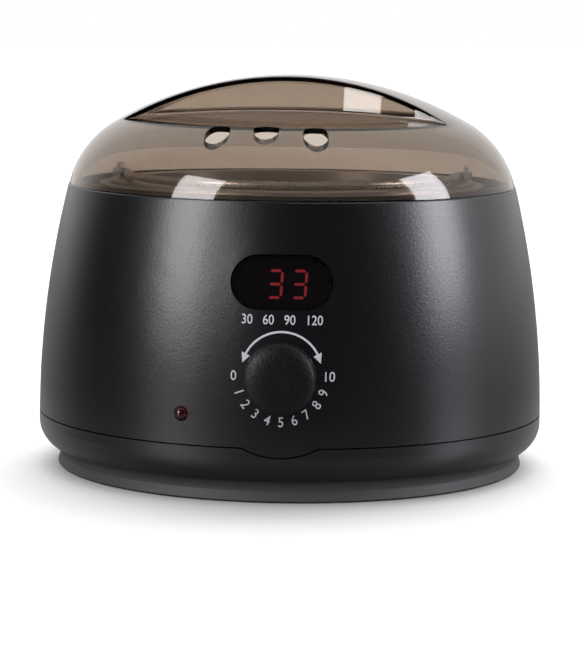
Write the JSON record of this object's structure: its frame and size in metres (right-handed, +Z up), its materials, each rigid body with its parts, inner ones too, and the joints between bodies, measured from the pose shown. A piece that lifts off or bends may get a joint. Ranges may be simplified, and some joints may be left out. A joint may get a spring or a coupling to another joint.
{
  "type": "wax warmer pot",
  "caption": "Round table-top wax warmer: black barrel housing with display and dial, lift-out metal pot with a wire bail, and a clear smoked lid with a moulded finger fin.",
  "frame": {"origin": "on the warmer's axis, at the underside of the foot ring", "axes": "+Z up along the warmer's axis, -Y out of the front with the dial and display, +X to the right as seen from the front"},
  "size_m": [0.1862, 0.1995, 0.1437],
  "materials": {
    "lid_smoke": "clear brown tint, polished",
    "housing_black": "fine satin moulding",
    "foot_rubber": "dull moulded rubber",
    "knob_black": "ribbed satin moulding",
    "pot_aluminium": "spun, satin",
    "cup_aluminium": "spun, dull",
    "steel": "bright zinc plate",
    "band_steel": "plain strip",
    "gasket_silicone": "matte",
    "sensor_brass": "plain",
    "fuse_case": "plain",
    "phenolic": "moulded brown",
    "lens_smoke": "dark tint, polished",
    "digit_black": "dark face",
    "board_green": "solder mask",
    "chip_black": "moulded",
    "lamp_red": "clear red",
    "gland_black": "moulded nylon",
    "block_white": "glazed white",
    "lead_sleeve": "silicone sleeve"
  },
  "bodies": {
    "housing": {"body_shell": "housing_black", "base_cover": "housing_black", "foot_ring": "foot_rubber", "base_screws": "steel", "cup_gasket": "gasket_silicone", "heating_cup": "cup_aluminium", "flange_nuts": "steel", "heater_band": "band_steel", "band_bolt": "steel", "band_nut": "steel", "temp_sensor": "sensor_brass", "fuse_clip": "band_steel", "thermal_fuse": "fuse_case", "stud_nut": "steel", "thermostat_body": "phenolic", "thermostat_nut": "sensor_brass", "display_window": "lens_smoke", "digit_module": "digit_black", "display_board": "board_green", "board_parts": "chip_black", "board_screws": "steel", "indicator_lamp": "lamp_red", "lamp_holder": "gland_black", "cord_gland": "gland_black", "terminal_block": "block_white", "terminal_screws": "sensor_brass", "block_screw": "steel", "lead_wires": "lead_sleeve"},
    "pot": {"inner_pot": "pot_aluminium", "bail_ears": "steel", "ear_rivets": "pot_aluminium"},
    "bail": {"bail_handle": "steel"},
    "lid": {"lid": "lid_smoke"},
    "knob": {"control_knob": "knob_black", "thermostat_shaft": "steel"}
  },
  "joints": [
    {"name": "pot_lift", "type": "slide", "parent": "housing", "child": "pot", "axis": [0, 0, 1], "range_m": [0, 0.12]},
    {"name": "lid_lift", "type": "slide", "parent": "pot", "child": "lid", "axis": [0, 0, 1], "range_m": [0, 0.12]},
    {"name": "bail_swing", "type": "hinge", "parent": "pot", "child": "bail", "pos_m": [0, 0, 0.1074], "axis": [-1, 0, 0], "range_deg": [0, 90]},
    {"name": "knob_turn", "type": "hinge", "parent": "housing", "child": "knob", "pos_m": [0, -0.09203, 0.0442], "axis": [0, 0.997, -0.0774], "range_deg": [0, 180]}
  ],
  "couplings": [
    {"joint": "bail_swing", "follows": "lid_lift", "rad_per_m": 13.08}
  ]
}
